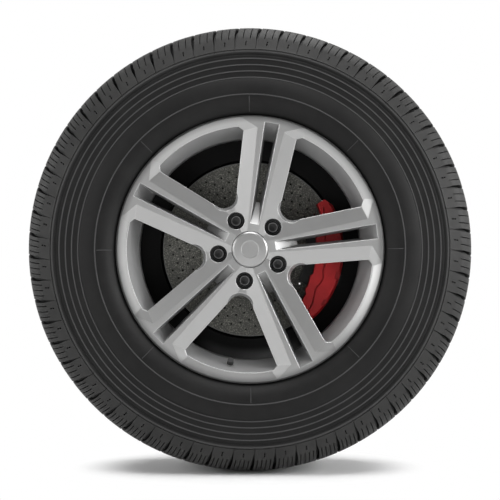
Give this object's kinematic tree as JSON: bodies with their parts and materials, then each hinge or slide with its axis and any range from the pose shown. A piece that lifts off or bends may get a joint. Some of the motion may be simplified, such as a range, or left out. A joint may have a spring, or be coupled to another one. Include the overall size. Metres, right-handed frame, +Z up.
{
  "type": "car wheel with tyre and disc brake",
  "caption": "Car wheel: tyre on a silver twin-spoke alloy rim, turning on a hub with a drilled, vented brake disc, a fixed red caliper with sliding pads, and a carrier to bolt to the car.",
  "frame": {"origin": "middle of the wheel, on its axle, midway between the rim's flanges", "axes": "+Y along the axle towards the car, so -Y is the street side; +Z is up"},
  "size_m": [0.7439, 0.233, 0.7439],
  "materials": {
    "tyre_rubber": "matt black rubber",
    "silver_alloy": "silver lacquer",
    "silver_cap": "silver lacquer",
    "black_rubber": "matt",
    "black_plastic": "matt",
    "dark_steel": "blackened",
    "zinc_steel": "zinc plated",
    "bearing_steel": "ground",
    "disc_iron": "rubbed and rust flecked",
    "hub_iron": "as cast",
    "black_sheet": "black",
    "red_paint": "red lacquer",
    "lining": "pressed friction material"
  },
  "bodies": {
    "axle": {"stub_axle": "bearing_steel", "bearing_inner_ring": "bearing_steel", "thrust_washer": "zinc_steel", "axle_nut": "zinc_steel", "hub_carrier": "hub_iron", "dust_shield": "black_sheet", "shield_screws": "zinc_steel", "caliper_outer_half": "red_paint", "caliper_inner_half": "red_paint", "caliper_bolts": "zinc_steel", "bridge_bolts": "dark_steel", "pad_pins": "bearing_steel", "bleed_screws": "zinc_steel", "bleed_caps": "black_rubber"},
    "wheel": {"tyre": "tyre_rubber", "alloy_wheel": "silver_alloy", "centre_cap": "silver_cap", "valve_stem": "black_rubber", "valve_cap": "black_plastic", "lug_bolts": "dark_steel", "balance_weights": "zinc_steel", "brake_disc": "disc_iron", "disc_screw": "dark_steel", "wheel_hub": "hub_iron", "grease_cap": "zinc_steel", "bearing_outer_ring": "bearing_steel", "bearing_circlip": "dark_steel"},
    "outer_pad": {"outer_pad_plate": "dark_steel", "outer_pad_lining": "lining", "outer_pistons": "bearing_steel"},
    "inner_pad": {"inner_pad_plate": "dark_steel", "inner_pad_lining": "lining", "inner_pistons": "bearing_steel"}
  },
  "joints": [
    {"name": "wheel_spin", "type": "hinge", "parent": "axle", "child": "wheel", "pos_m": [0, 0, 0], "axis": [0, 1, 0], "continuous": true},
    {"name": "outer_pad_slide", "type": "slide", "parent": "axle", "child": "outer_pad", "axis": [0, 1, 0], "range_m": [0, 0.0003]},
    {"name": "inner_pad_slide", "type": "slide", "parent": "axle", "child": "inner_pad", "axis": [0, -1, 0], "range_m": [0, 0.0003]}
  ],
  "couplings": [
    {"joint": "inner_pad_slide", "follows": "outer_pad_slide", "ratio": 1}
  ]
}
